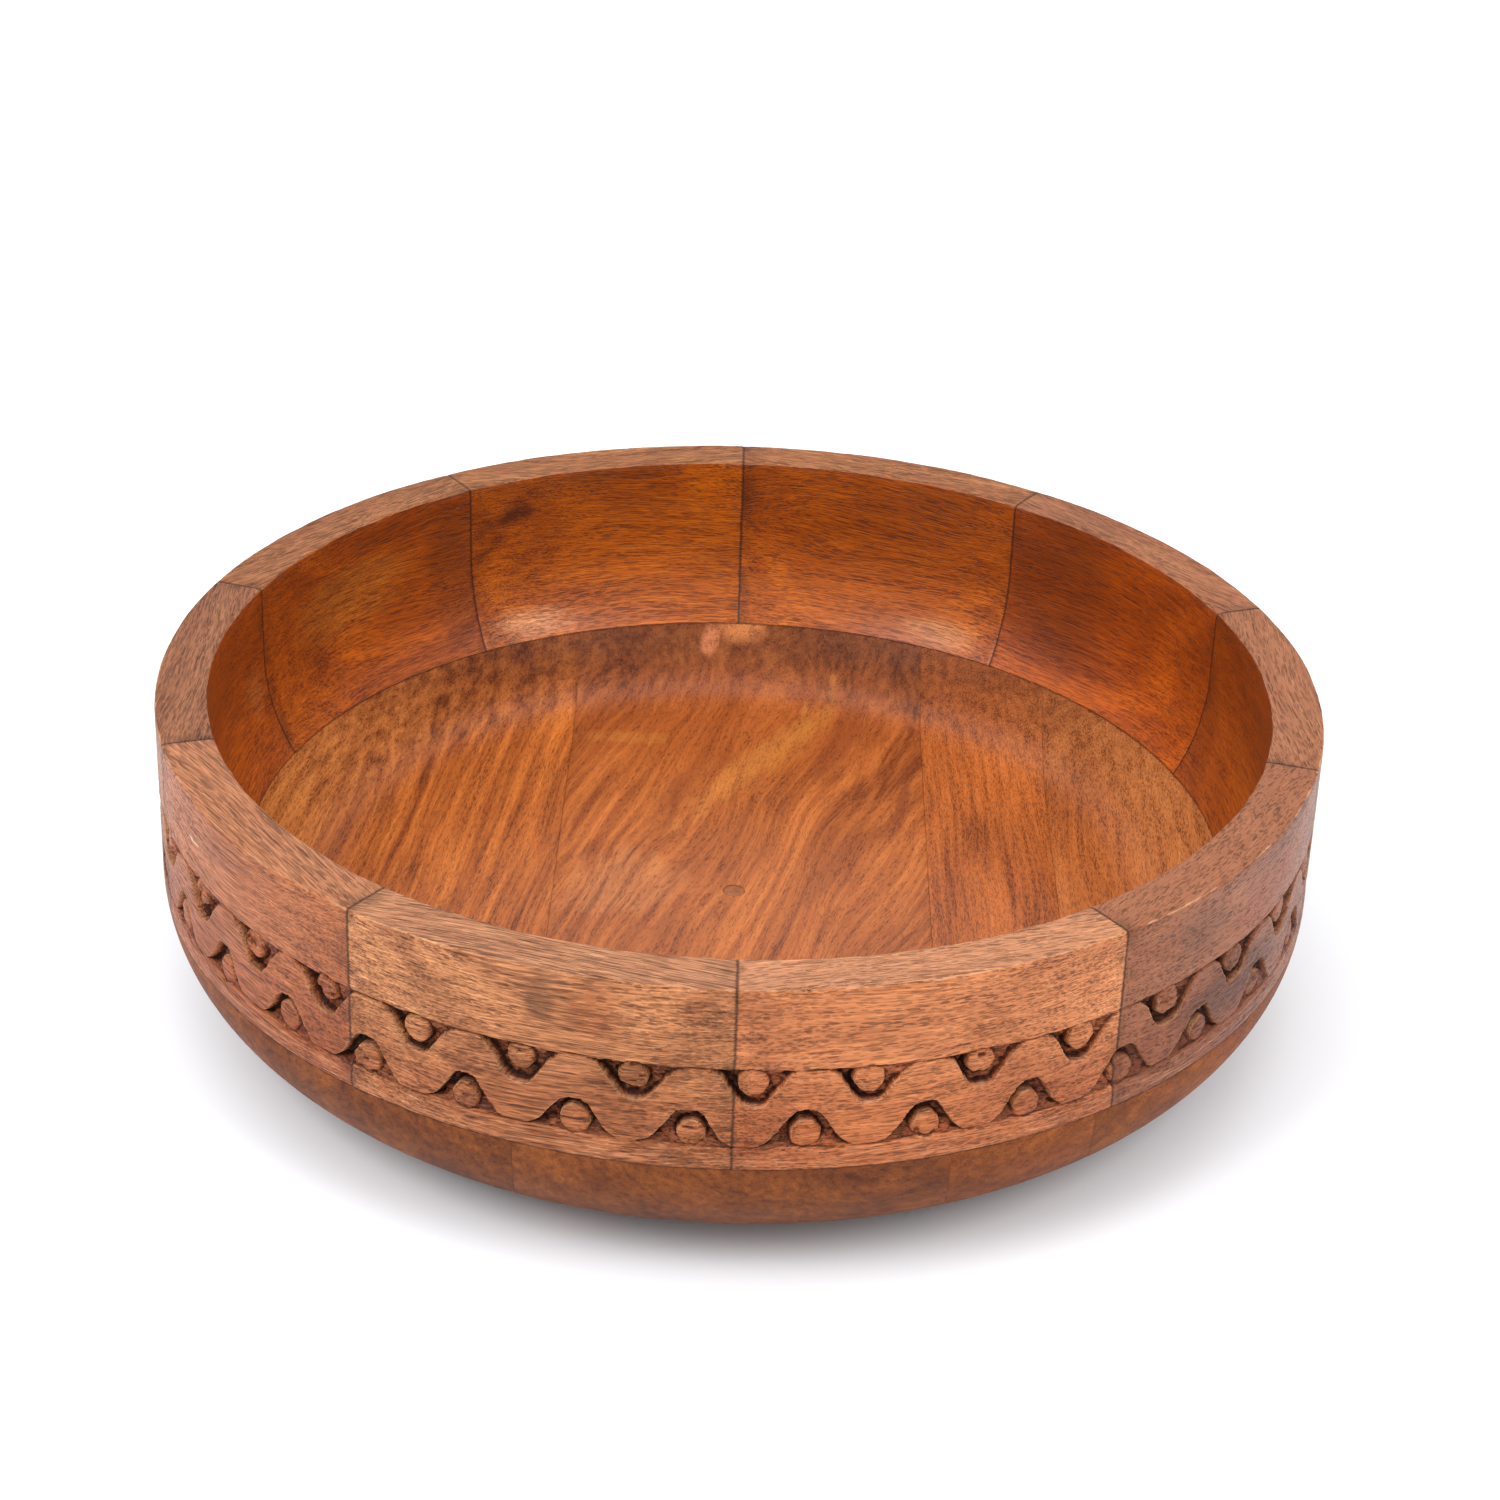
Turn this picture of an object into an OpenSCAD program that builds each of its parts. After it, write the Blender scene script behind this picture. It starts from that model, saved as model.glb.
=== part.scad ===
// Carved wooden bowl: a ring of staves on a base glued up from planks.
// The origin is the centre of the foot, +Z is up, and all sizes are in millimetres.

/* [Bowl] */
// Diameter across the rim
bowl_d = 300; // [270:5:340]
// Height from the foot to the top of the rim
bowl_h = 86; // [80:1:110]
// Diameter of the flat foot
foot_d = 200; // [150:5:230]
// Thickness of the wall at the rim
wall_t = 13.3; // [11:0.1:16]
// Thickness of the floor
floor_t = 21.6; // [14:0.1:26]
// Diameter of the flat part of the floor
floor_d = 202; // [150:2:210]
// Bevel along the inner and outer edges of the rim
arris = 0.8; // [0.4:0.1:1.5]

/* [Curves] */
// Height of the straight outer wall, below the rim
straight_h = 46; // [40:1:60]
// Height of the cove between the floor and the inner wall
cove_h = 44.4; // [30:0.1:52]

/* [Stave ring] */
// Height of the staves, above the glue line
ring_h = 48.5; // [46:0.5:60]
// Direction of the first joint between two staves, in degrees
first_joint = 270.8; // [255:0.1:285]

/* [Base planks] */
// Seam between the left and the middle plank
seam_left = -48.5; // [-80:0.5:-30]
// Seam between the middle and the narrow plank
seam_mid = 52.5; // [30:0.5:60]
// Seam between the narrow and the right plank
seam_right = 87; // [80:0.5:100]

/* [Centre plug] */
// Diameter of the plug that fills the turning centre's hole in the floor
plug_d = 6; // [3:0.5:10]
// Depth of the plug
plug_h = 8; // [4:0.5:12]

/* [Carved border] */
// Distance from the rim to the upper border line
border_top = 21.5; // [16:0.5:24]
// Height of the carved border, line to line
border_h = 21; // [19:0.5:24]
// Number of waves around the bowl
waves = 35; // [24:1:40]
// Direction of the first wave, in degrees
first_wave = 272.3; // [265:0.1:280]
// Width of a recess along its border line
recess_w = 20; // [14:0.5:20]
// Height of a recess
recess_h = 10; // [8:0.5:10]
// Depth of the carving
carve_depth = 3; // [1.5:0.1:4]
// Diameter of the round button that stands in each recess
button_d = 7.2; // [4:0.1:7.4]
// Width of the scribed border lines
scribe_w = 1.2; // [0.6:0.1:2]

/* [Hidden] */
$fn = 96;

bowl_r = bowl_d / 2;
inner_r = bowl_r - wall_t;
foot_r = foot_d / 2;
floor_r = floor_d / 2;
glue_z = bowl_h - ring_h;

// Width of each stave in degrees. They were cut by hand, so no two are quite alike.
STAVE_WIDTH = [36.5, 37.5, 35.5, 35.5, 35, 35, 36.5, 36, 36, 36.5];
STAVE_COLOR = [
    "peru", "sienna", "saddlebrown", "chocolate", "peru",
    "chocolate", "sienna", "saddlebrown", "peru", "tan"
];
LAST_STAVE = len(STAVE_WIDTH) - 1;

// The outer wall is straight and then runs in a quarter of an ellipse to the foot.
outer_curve_h = bowl_h - straight_h;
outer_glue_angle = -asin((outer_curve_h - glue_z) / outer_curve_h);
// The cove is a quarter of an ellipse from the flat floor to the inner wall.
cove_top = floor_t + cove_h;
cove_glue_angle = -asin((cove_top - glue_z) / cove_h);
// Number of cones that make up a stretch of each curve
CURVE_STEPS = 10;
RING_CURVE_STEPS = 2;

// How far a recess and its button reach over their border line. The button goes past
// the recess, so that it is one with the wall.
RECESS_RISE = 0.25;
BUTTON_OVERLAP = 0.7;
// The part of the wave, in degrees either side of its middle, that is cut as a recess
WAVE_CUT = 135;
WAVE_STEPS = 14;
// Sharpness of the wave: 1 is a cosine, and more is narrower at the tip
WAVE_SHARPNESS = 1.5;
SCRIBE_DEPTH = 0.7;
// Room that a cutter takes past the surface it cuts
CLEAR = 4;

RIM_STAVES = [for (i = [0 : LAST_STAVE]) str("rim_stave_", i + 1)];

// Direction of the joint before stave i
function joint_angle(i) = i == 0 ? first_joint : joint_angle(i - 1) + STAVE_WIDTH[i - 1];

// The smallest turn between two directions
function turn_between(a, b) = abs((a - b + 900) % 360 - 180);

// Points on an ellipse about [0, cz] shifted out by cx
function ellipse_arc(cx, cz, a, b, from, to, steps) = [
    for (k = [0 : steps])
        let (angle = from + (to - from) * k / steps)
        [cx + a * cos(angle), cz + b * sin(angle)]
];

function outer_arc(from, to, steps) =
    ellipse_arc(foot_r, outer_curve_h, bowl_r - foot_r, outer_curve_h, from, to, steps);

function cove_arc(from, to, steps) =
    ellipse_arc(floor_r, cove_top, inner_r - floor_r, cove_h, from, to, steps);

// Cross-section of the stave ring, from the glue line up
module ring_section() {
    polygon(concat(
        outer_arc(outer_glue_angle, 0, RING_CURVE_STEPS),
        [
            [bowl_r, bowl_h - arris],
            [bowl_r - arris, bowl_h],
            [inner_r + arris, bowl_h],
            [inner_r, bowl_h - arris]
        ],
        cove_arc(0, cove_glue_angle, CURVE_STEPS)
    ));
}

// Cross-section of the base, from the foot to the glue line
module base_section() {
    polygon(concat(
        [[0, 0]],
        outer_arc(-90, outer_glue_angle, CURVE_STEPS),
        cove_arc(cove_glue_angle, -90, CURVE_STEPS),
        [[0, floor_t]]
    ));
}

// Outline of one recess: it hangs from its border line and closes in a round tip.
module recess_outline() {
    difference() {
        polygon([
            for (k = [0 : WAVE_STEPS])
                let (along = 2 * k / WAVE_STEPS - 1)
                [
                    along * recess_w / 2,
                    -recess_h * pow((1 + cos(along * WAVE_CUT)) / 2, WAVE_SHARPNESS)
                ],
            [recess_w / 2, RECESS_RISE],
            [-recess_w / 2, RECESS_RISE]
        ]);
        translate([0, BUTTON_OVERLAP - button_d / 2]) circle(d = button_d);
    }
}

// Cutter for one recess, square to the wall at the given direction. side is 1 to
// hang from the upper border line and -1 to stand on the lower one.
module recess_cutter(direction, line_z, side) {
    rotate([0, 0, direction])
        translate([bowl_r - carve_depth, 0, line_z])
            rotate([90, 0, 90])
                linear_extrude(carve_depth + CLEAR)
                    mirror([0, side < 0 ? 1 : 0])
                        recess_outline();
}

// A shallow V round the whole wall
module scribed_line(line_z) {
    translate([0, 0, line_z])
        rotate_extrude()
            polygon([
                [bowl_r - SCRIBE_DEPTH, 0],
                [bowl_r + SCRIBE_DEPTH, scribe_w],
                [bowl_r + SCRIBE_DEPTH, -scribe_w]
            ]);
}

// The carving that falls on stave i
module carved_border(i) {
    upper_z = bowl_h - border_top;
    lower_z = upper_z - border_h;
    wave = 360 / waves;
    middle = joint_angle(i) + STAVE_WIDTH[i] / 2;
    reach = (STAVE_WIDTH[i] + wave) / 2;
    for (k = [0 : waves - 1]) {
        upper_direction = first_wave + k * wave;
        lower_direction = upper_direction + wave / 2;
        if (turn_between(upper_direction, middle) < reach)
            recess_cutter(upper_direction, upper_z, 1);
        if (turn_between(lower_direction, middle) < reach)
            recess_cutter(lower_direction, lower_z, -1);
    }
    scribed_line(upper_z);
    scribed_line(lower_z);
}

// One carved stave of the rim
module rim_stave(i) {
    color(STAVE_COLOR[i])
        difference() {
            rotate([0, 0, joint_angle(i)])
                rotate_extrude(angle = STAVE_WIDTH[i])
                    ring_section();
            carved_border(i);
        }
}

// The stretch of the turned base between two seams
module base_plank(from_x, to_x) {
    intersection() {
        rotate_extrude() base_section();
        translate([from_x, -bowl_r - CLEAR, -CLEAR])
            cube([to_x - from_x, 2 * (bowl_r + CLEAR), bowl_h]);
    }
}

module base_plank_left() {
    color("sienna") base_plank(-bowl_r - CLEAR, seam_left);
}

module base_plank_middle() {
    color("peru")
        difference() {
            base_plank(seam_left, seam_mid);
            translate([0, 0, floor_t - plug_h]) cylinder(h = plug_h + CLEAR, d = plug_d);
        }
}

module base_plank_narrow() {
    color("chocolate") base_plank(seam_mid, seam_right);
}

module base_plank_right() {
    color("sienna") base_plank(seam_right, bowl_r + CLEAR);
}

// The plug stands flush in the floor at the centre of the bowl.
module centre_plug() {
    color("rosybrown") translate([0, 0, floor_t - plug_h]) cylinder(h = plug_h, d = plug_d);
}

for (i = [0 : LAST_STAVE]) {
    rim_stave(i);
}
base_plank_left();
base_plank_middle();
base_plank_narrow();
base_plank_right();
centre_plug();
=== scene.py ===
"""Looks of the carved wooden bowl: ten carved staves in a ring, on a base glued up from planks.

Lengths are in millimetres until a mesh, light or camera is made, and angles are in degrees.
"""

import math
from types import SimpleNamespace

import bmesh
import bpy
import numpy as np
from mathutils import Matrix, Vector


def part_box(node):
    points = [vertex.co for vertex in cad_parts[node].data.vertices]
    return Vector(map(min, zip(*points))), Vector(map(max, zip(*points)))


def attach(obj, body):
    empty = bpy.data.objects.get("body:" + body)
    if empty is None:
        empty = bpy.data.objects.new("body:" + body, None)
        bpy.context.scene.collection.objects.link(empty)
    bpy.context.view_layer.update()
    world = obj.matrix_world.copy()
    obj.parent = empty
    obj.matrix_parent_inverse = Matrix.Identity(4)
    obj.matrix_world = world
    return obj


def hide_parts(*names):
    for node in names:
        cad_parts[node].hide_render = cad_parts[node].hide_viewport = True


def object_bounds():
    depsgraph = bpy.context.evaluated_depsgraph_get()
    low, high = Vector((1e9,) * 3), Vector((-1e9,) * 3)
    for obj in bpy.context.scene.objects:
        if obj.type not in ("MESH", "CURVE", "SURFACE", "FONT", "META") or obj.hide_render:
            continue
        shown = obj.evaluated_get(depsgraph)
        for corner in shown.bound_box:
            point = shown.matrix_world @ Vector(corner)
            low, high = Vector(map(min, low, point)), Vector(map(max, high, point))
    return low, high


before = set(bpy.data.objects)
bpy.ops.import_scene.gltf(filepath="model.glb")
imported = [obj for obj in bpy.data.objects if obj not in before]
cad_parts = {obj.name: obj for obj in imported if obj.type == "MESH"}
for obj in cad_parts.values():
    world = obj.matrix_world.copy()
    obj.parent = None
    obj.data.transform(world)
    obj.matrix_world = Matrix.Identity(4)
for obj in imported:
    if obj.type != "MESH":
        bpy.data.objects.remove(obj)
CAD_LOW, CAD_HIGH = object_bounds()
MM = 0.001

# ---------------------------------------------------------------- sizes that follow the frame

STAVE_COUNT = sum(name.startswith("rim_stave_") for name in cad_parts)
STAVES = [f"rim_stave_{i + 1}" for i in range(STAVE_COUNT)]
PLANKS = ["base_plank_left", "base_plank_middle", "base_plank_narrow", "base_plank_right"]
PLUG = "centre_plug"

RIM_R = CAD_HIGH.x / MM
RIM_Z = CAD_HIGH.z / MM
GLUE_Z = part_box("base_plank_middle")[1].z / MM
FLOOR_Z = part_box(PLUG)[1].z / MM
PLUG_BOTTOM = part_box(PLUG)[0].z / MM
PLUG_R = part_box(PLUG)[1].x / MM

# ---------------------------------------------------------------- sizes shared with the design

WALL_T = 13.3
BORDER_DROP = 21.5
BORDER_H = 21
INNER_R = RIM_R - WALL_T
FOOT_R = 100
FLOOR_R = 101
COVE_H = 44.4
COVE_TOP = FLOOR_Z + COVE_H
OUTER_CURVE_H = 40

WAVES = 35
WAVE_DEG = 360 / WAVES
FIRST_WAVE = 272.3
BORDER_TOP_Z = RIM_Z - BORDER_DROP
BORDER_LOW_Z = BORDER_TOP_Z - BORDER_H
RECESS_H = 10
CARVE_DEPTH = 3
BUTTON_R = 3.6

# ---------------------------------------------------------------- sizes of the mesh work

# Spacing of the points of the carved border, and how many of its columns make one elsewhere
FINE_PITCH = 0.25
FINE_STEPS = 4
# How far the fine points go past the border's two lines
BORDER_MARGIN = 2.4
# The rounded edges of the rim
ARRIS = 0.5
ARRIS_STEPS = 5
# How deep and how wide the softened edges along the glue joints are
EASED = 0.1
EASED_BASE = 0.025
EASED_WIDTH = 0.3
EASED_SEAM_WIDTH = 0.12
# A row this close to each glue line keeps the shading of the curves true up to it, in degrees.
NEAR_GLUE_DEG = 0.4
# How far round a point the carving's attributes hollow and edge look
HOLLOW_REACH = 0.9
EDGE_REACH = 0.35
# A chip missing from the rim's outer edge, in millimetres and degrees
CHIP_DEPTH = 0.7
CHIP_AT = 276.8
CHIP_DEG = 0.5
# The rings of noise and of hand-cut recesses start and end at a joint at the back.
RING_START = 90.8
BASE_COLUMNS = 300
PLUG_COLUMNS = 40
NOISE_TABLE = 128


def smooth(low, high, x):
    """0 below low, 1 above high, and an S-curve between."""
    t = np.clip((x - low) / (high - low), 0, 1)
    return t * t * (3 - 2 * t)


def noise(x, y, seed):
    """Smooth noise from -1 to 1, with a feature size of 1."""
    side = NOISE_TABLE
    table = np.random.default_rng(seed).uniform(-1, 1, (side, side))
    i = np.floor(x).astype(int)
    j = np.floor(y).astype(int)
    fx = smooth(0, 1, x - i)
    fy = smooth(0, 1, y - j)
    near = table[i % side, j % side] * (1 - fx) + table[(i + 1) % side, j % side] * fx
    far = table[i % side, (j + 1) % side] * (1 - fx) + table[(i + 1) % side, (j + 1) % side] * fx
    return near * (1 - fy) + far * fy


def blurred(grid, radius):
    """The grid after a Gaussian blur of that radius, in cells."""
    reach = int(3 * radius)
    taps = np.exp(-0.5 * (np.arange(-reach, reach + 1) / radius) ** 2)
    taps /= taps.sum()
    for axis in (0, 1):
        width = [(reach, reach) if a == axis else (0, 0) for a in (0, 1)]
        padded = np.pad(grid, width, mode="edge")
        grid = np.apply_along_axis(lambda line: np.convolve(line, taps, mode="valid"), axis, padded)
    return grid


# ---------------------------------------------------------------- profile of the turned bowl


def outer_arc(start, end, steps):
    """Points on the outer curve; -90 is where it meets the foot and 0 where the straight wall starts."""
    t = np.radians(np.linspace(start, end, steps + 1))
    return np.stack([FOOT_R + (RIM_R - FOOT_R) * np.cos(t), OUTER_CURVE_H * (1 + np.sin(t))], 1)


def cove_arc(start, end, steps):
    """Points on the cove; -90 is where it meets the flat floor and 0 where the inner wall starts."""
    t = np.radians(np.linspace(start, end, steps + 1))
    return np.stack([FLOOR_R + (INNER_R - FLOOR_R) * np.cos(t), COVE_TOP + COVE_H * np.sin(t)], 1)


OUTER_GLUE_DEG = -math.degrees(math.asin((OUTER_CURVE_H - GLUE_Z) / OUTER_CURVE_H))
COVE_GLUE_DEG = -math.degrees(math.asin((COVE_TOP - GLUE_Z) / COVE_H))


def arris_arc(corner_r, inward, steps=ARRIS_STEPS):
    """The rounded edge of the rim at corner_r. inward is -1 on the outer edge and 1 on the inner one."""
    t = np.radians(np.linspace(0, 90, steps + 1))
    r = corner_r + inward * ARRIS * (1 - np.cos(t))
    z = RIM_Z - ARRIS * (1 - np.sin(t))
    arc = np.stack([r, z], 1)
    return arc if inward < 0 else arc[::-1]


# ---------------------------------------------------------------- the carved border


def hand_cut(seed, left, right):
    """How the recesses of one row, cut by eye, differ from each other.

    left and right are how far the two sides of a recess flare out, as a share of half a wave.
    """
    rng = np.random.default_rng(seed)
    half_wave = math.radians(WAVE_DEG) * RIM_R / 2
    return SimpleNamespace(
        shift=rng.uniform(-0.5, 0.5, WAVES),
        left=half_wave * left * rng.uniform(0.93, 1.07, WAVES),
        right=half_wave * right * rng.uniform(0.93, 1.07, WAVES),
        height=RECESS_H * rng.uniform(0.93, 1.03, WAVES),
        sharp=rng.uniform(1.8, 2.4, WAVES),
        slant=rng.uniform(0.4, 0.8, WAVES),
        button_r=BUTTON_R * rng.uniform(0.93, 1.06, WAVES),
        button_u=rng.uniform(-0.5, 0.5, WAVES),
        button_v=rng.uniform(-0.1, 0.5, WAVES),
        button_top=rng.uniform(0.05, 0.5, WAVES),
        tilt=rng.uniform(0, 0.09, WAVES),
        tilt_to=rng.uniform(0, 2 * np.pi, WAVES),
        lobes=rng.uniform(0, 2 * np.pi, WAVES),
        chip=np.where(rng.uniform(0, 1, WAVES) > 0.6, rng.uniform(0.4, 1.0, WAVES), 0),
        seed=seed,
    )


UPPER_ROW = hand_cut(21, 1.0, 1.16)
LOWER_ROW = hand_cut(34, 1.16, 1.0)


def recess_height(u, row, k):
    """Height of recess k at u along its border line: long flat tips and a round end."""
    half = np.where(u < 0, row.left[k], row.right[k])
    bell = 1.18 * row.height[k] * ((1 + np.cos(np.pi * np.clip(u / half, -1, 1))) / 2) ** row.sharp[k]
    softness = 0.8
    return -softness * np.log(np.exp(-bell / softness) + np.exp(-(row.height[k] + 0.15) / softness))


def button(u, v, row, k):
    """Distance outside the edge of button k, and the depth of its top."""
    du = u - row.button_u[k]
    dv = v - (row.button_r[k] - 0.3 + row.button_v[k])
    turn = np.arctan2(dv, du)
    uneven = 0.03 * np.cos(3 * turn + row.lobes[k]) + 0.02 * np.cos(7 * turn - row.lobes[k])
    out = np.hypot(du, dv) * (1 + uneven)
    tilt = row.tilt[k] * (du * np.cos(row.tilt_to[k]) + dv * np.sin(row.tilt_to[k]))
    chip = row.chip[k] * smooth(0.1, 0.6, noise(du / 2.1 + 5 * k, dv / 1.6, row.seed + 1))
    dome = 0.5 * np.clip(out / row.button_r[k], 0, 1.2) ** 4
    top = row.button_top[k] + tilt + chip + dome + 0.12 * noise(du / 1.1, dv / 0.55 + k, row.seed + 4)
    return out - row.button_r[k], np.maximum(top, 0)


def recess(u, v, row, k, border_share):
    """Depth of recess k and how far a point is cut. u runs along its border line and v away from it.

    border_share is the depth at the border line as a share of the depth against the wave.
    """
    u = u - row.shift[k]
    height = recess_height(u, row, k)
    slope = (recess_height(u + 0.05, row, k) - recess_height(u - 0.05, row, k)) / 0.1
    wobble = 0.22 * noise(u / 2.3 + 11 * k, v / 2.3, row.seed)
    wobble += 0.14 * noise(u / 0.8, v / 0.6 + 9 * k, row.seed + 5)
    inside = (height - v) / np.sqrt(1 + slope**2) + wobble + 0.2
    past_line = v + 0.15 * noise(u / 1.5, v + 3 * k, row.seed + 6)
    cut = smooth(0, 0.4, inside) * smooth(-0.15, 0.25, past_line)

    # Deep and steep on one side, where the knife went in first, and sloping up on the other
    cap = CARVE_DEPTH * (1 - np.exp(-np.maximum(height, 0) / 1.0))
    fall = np.clip(v / np.maximum(height, 0.3), 0, 1)
    depth = cap * (border_share + (1 - border_share) * smooth(0, 0.6, fall))
    depth *= 1.1 - row.slant[k] * smooth(-3, 9, u)
    edge, top = button(u, v, row, k)
    stands = 1 - smooth(-0.2, 0.3, edge)
    depth = depth * (1 + 0.3 * np.exp(-np.maximum(edge, 0) / 0.8))
    marks = 0.55 * noise(u / 1.9 + 7 * k, v / 1.2, row.seed + 2)
    marks += 0.3 * noise(u / 0.8, v / 0.55 + 3 * k, row.seed + 3)
    depth = np.maximum(depth + marks * smooth(0.2, 1.2, depth), 0.15)
    depth = cut * (1 - stands) * depth + stands * top
    knife_line = 0.8 * np.exp(-(((edge - 0.05) / 0.28) ** 2))
    return np.maximum(depth, knife_line), cut * (1 - stands)


def border_lines(along, z):
    """Depth of the two knife lines that bound the waves."""
    depth = np.zeros_like(z)
    flat = np.zeros_like(z)
    for line_z, strength, width, seed in ((BORDER_TOP_Z, 0.8, 0.3, 51), (BORDER_LOW_Z, 0.7, 0.32, 52)):
        drift = 0.25 * noise(along / 14, flat, seed) + 0.12 * noise(along / 3, flat, seed + 4)
        line = strength * np.exp(-(((z - line_z - drift) / width) ** 2))
        depth = np.maximum(depth, line * (0.7 + 0.5 * noise(along / 4, flat + 1, seed)))
    return depth


def torn_fibres(along, z):
    """Depth of the furrows that the tools tore along the grain, most of them below the lower line."""
    strength = 0.09 + 0.1 * smooth(BORDER_LOW_Z + 0.5, BORDER_LOW_Z - 0.5, z)
    strength = strength * smooth(BORDER_LOW_Z - BORDER_MARGIN, BORDER_LOW_Z - BORDER_MARGIN + 0.8, z)
    strength = strength * smooth(BORDER_TOP_Z + BORDER_MARGIN, BORDER_TOP_Z + BORDER_MARGIN - 0.8, z)
    sway = z + 0.5 * noise(along / 16, z / 9, 56)
    furrows = noise(along / 8, sway / 0.55, 53) + 0.8 * noise(along / 3, sway / 0.5, 54)
    return strength * np.maximum(furrows + 0.3, 0)


def carving(angle, z):
    """Depth of the carving and the share of each point that is cut away, on a grid of the outer wall."""
    depth, cut = np.zeros_like(z), np.zeros_like(z)
    rows = ((UPPER_ROW, 0, BORDER_TOP_Z, -1, 0.45), (LOWER_ROW, WAVE_DEG / 2, BORDER_LOW_Z, 1, 0.25))
    for row, offset, line_z, side, border_share in rows:
        v = side * (z - line_z)
        for k in range(WAVES):
            turn = (FIRST_WAVE + offset + k * WAVE_DEG - RING_START) % 360 + RING_START - angle
            turn = (turn + 180) % 360 - 180
            if np.abs(turn).min() > WAVE_DEG:
                continue
            u = -np.radians(turn) * RIM_R
            near = np.abs(u) < math.radians(WAVE_DEG) * RIM_R
            d, c = recess(u, v, row, k, border_share)
            depth = np.where(near, np.maximum(depth, d), depth)
            cut = np.where(near, np.maximum(cut, c), cut)
    along = np.radians(angle) * RIM_R
    depth = np.maximum(depth, border_lines(along, z))
    return depth + torn_fibres(along, z) * (1 - cut), cut


# ---------------------------------------------------------------- meshes


def make_piece(name, vertices, faces, flat_faces=(), attributes=None):
    """A mesh object from points in millimetres, smooth but for the faces named flat."""
    mesh = bpy.data.meshes.new(name)
    mesh.from_pydata((np.asarray(vertices) * MM).tolist(), [], faces)
    is_smooth = np.ones(len(mesh.polygons), bool)
    is_smooth[list(flat_faces)] = False
    mesh.polygons.foreach_set("use_smooth", is_smooth)
    for key, values in (attributes or {}).items():
        mesh.attributes.new(key, "FLOAT", "POINT").data.foreach_set("value", values.astype(np.float32))
    mesh.update()
    piece = bpy.data.objects.new(name, mesh)
    bpy.context.scene.collection.objects.link(piece)
    return piece


def stave_span(node):
    """Where a stave of the frame starts and how far it goes round, in degrees."""
    corners = np.array([v.co[:2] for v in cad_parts[node].data.vertices])
    turn = np.degrees(np.arctan2(corners[:, 1], corners[:, 0]))
    middle = math.degrees(math.atan2(*corners.mean(0)[::-1]))
    reach = (turn - middle + 180) % 360 - 180
    start = (middle + reach.min() - RING_START + 0.01) % 360 + RING_START - 0.01
    return start, reach.max() - reach.min()


def stave_columns(start, span):
    """Directions of a stave's coarse and fine columns, and how many fine steps each coarse one takes."""
    eased = math.degrees(EASED_WIDTH / RIM_R)
    count = round(math.radians(span) * RIM_R / (FINE_PITCH * FINE_STEPS))
    coarse = np.concatenate([[0], np.linspace(eased, span - eased, count + 1), [span]]) + start
    steps = [1] + [FINE_STEPS] * count + [1]
    at = np.concatenate([[0], np.cumsum(steps)])
    fine = np.interp(np.arange(at[-1] + 1), at, coarse)
    return coarse, fine, steps


def stave_rows():
    """The stave's cross-section as rows of (r, z), up the outer wall, over the rim and down inside.

    Also the kind of each row: wall, fine, rim, or arris for the rim's edges.
    """
    low_z, high_z = BORDER_LOW_Z - BORDER_MARGIN, BORDER_TOP_Z + BORDER_MARGIN
    wall_start = outer_arc(OUTER_GLUE_DEG, 0, 2)
    fine_z = np.arange(low_z, high_z, FINE_PITCH)
    upper_z = np.linspace(high_z + 1.2, RIM_Z - ARRIS - 0.6, 12)
    stretches = [
        wall_start[:1],
        wall_start[:1] + [[0.02, EASED_WIDTH]],
        wall_start[1:],
        np.stack([np.full_like(fine_z, RIM_R), fine_z], 1),
        np.stack([np.full_like(upper_z, RIM_R), upper_z], 1),
        arris_arc(RIM_R, -1),
        np.stack([np.linspace(RIM_R - ARRIS - 1.2, INNER_R + ARRIS + 1.2, 7), np.full(7, RIM_Z)], 1),
        arris_arc(INNER_R, 1),
        np.stack([np.full(9, INNER_R), np.linspace(RIM_Z - ARRIS - 1.5, COVE_TOP + 1, 9)], 1),
        cove_arc(0, COVE_GLUE_DEG + NEAR_GLUE_DEG, 14),
        cove_arc(COVE_GLUE_DEG, COVE_GLUE_DEG, 0),
    ]
    kinds = ["wall", "wall", "wall", "fine", "wall", "arris", "rim", "arris", "wall", "wall", "wall"]
    rows = np.concatenate(stretches)
    kind = np.concatenate([[k] * len(s) for k, s in zip(kinds, stretches)])
    return rows, kind


def outward(rows):
    """Unit normals of an open line of (r, z) rows that has its outside on the right."""
    step = np.gradient(rows, axis=0)
    normal = np.stack([step[:, 1], -step[:, 0]], 1)
    return normal / np.linalg.norm(normal, axis=1)[:, None]


def stitch(faces, below, above, steps):
    """Adds the faces between two rows of vertex numbers, either of which may be the fine one."""
    if len(below) == len(above):
        faces += zip(below[:-1], below[1:], above[1:], above[:-1])
        return
    at = 0
    for j, n in enumerate(steps):
        if len(below) < len(above):
            faces.append([below[j], below[j + 1], *above[at : at + n + 1][::-1]])
        else:
            faces.append([*below[at : at + n + 1], above[j + 1], above[j]])
        at += n


def rim_wear(angle, row, on_outside):
    """How far an edge of the rim is worn in at each direction. row is the row's number."""
    along = np.radians(angle) * RIM_R
    wear = 0.1 + 0.1 * noise(along / 7, np.full(len(angle), row / 3.0), 61)
    wear += 0.12 * np.maximum(noise(along / 2.2, np.full(len(angle), row / 5.0), 62), 0)
    if on_outside:
        wear += CHIP_DEPTH * np.exp(-(((angle - CHIP_AT) / CHIP_DEG) ** 2))
    return wear


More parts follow.
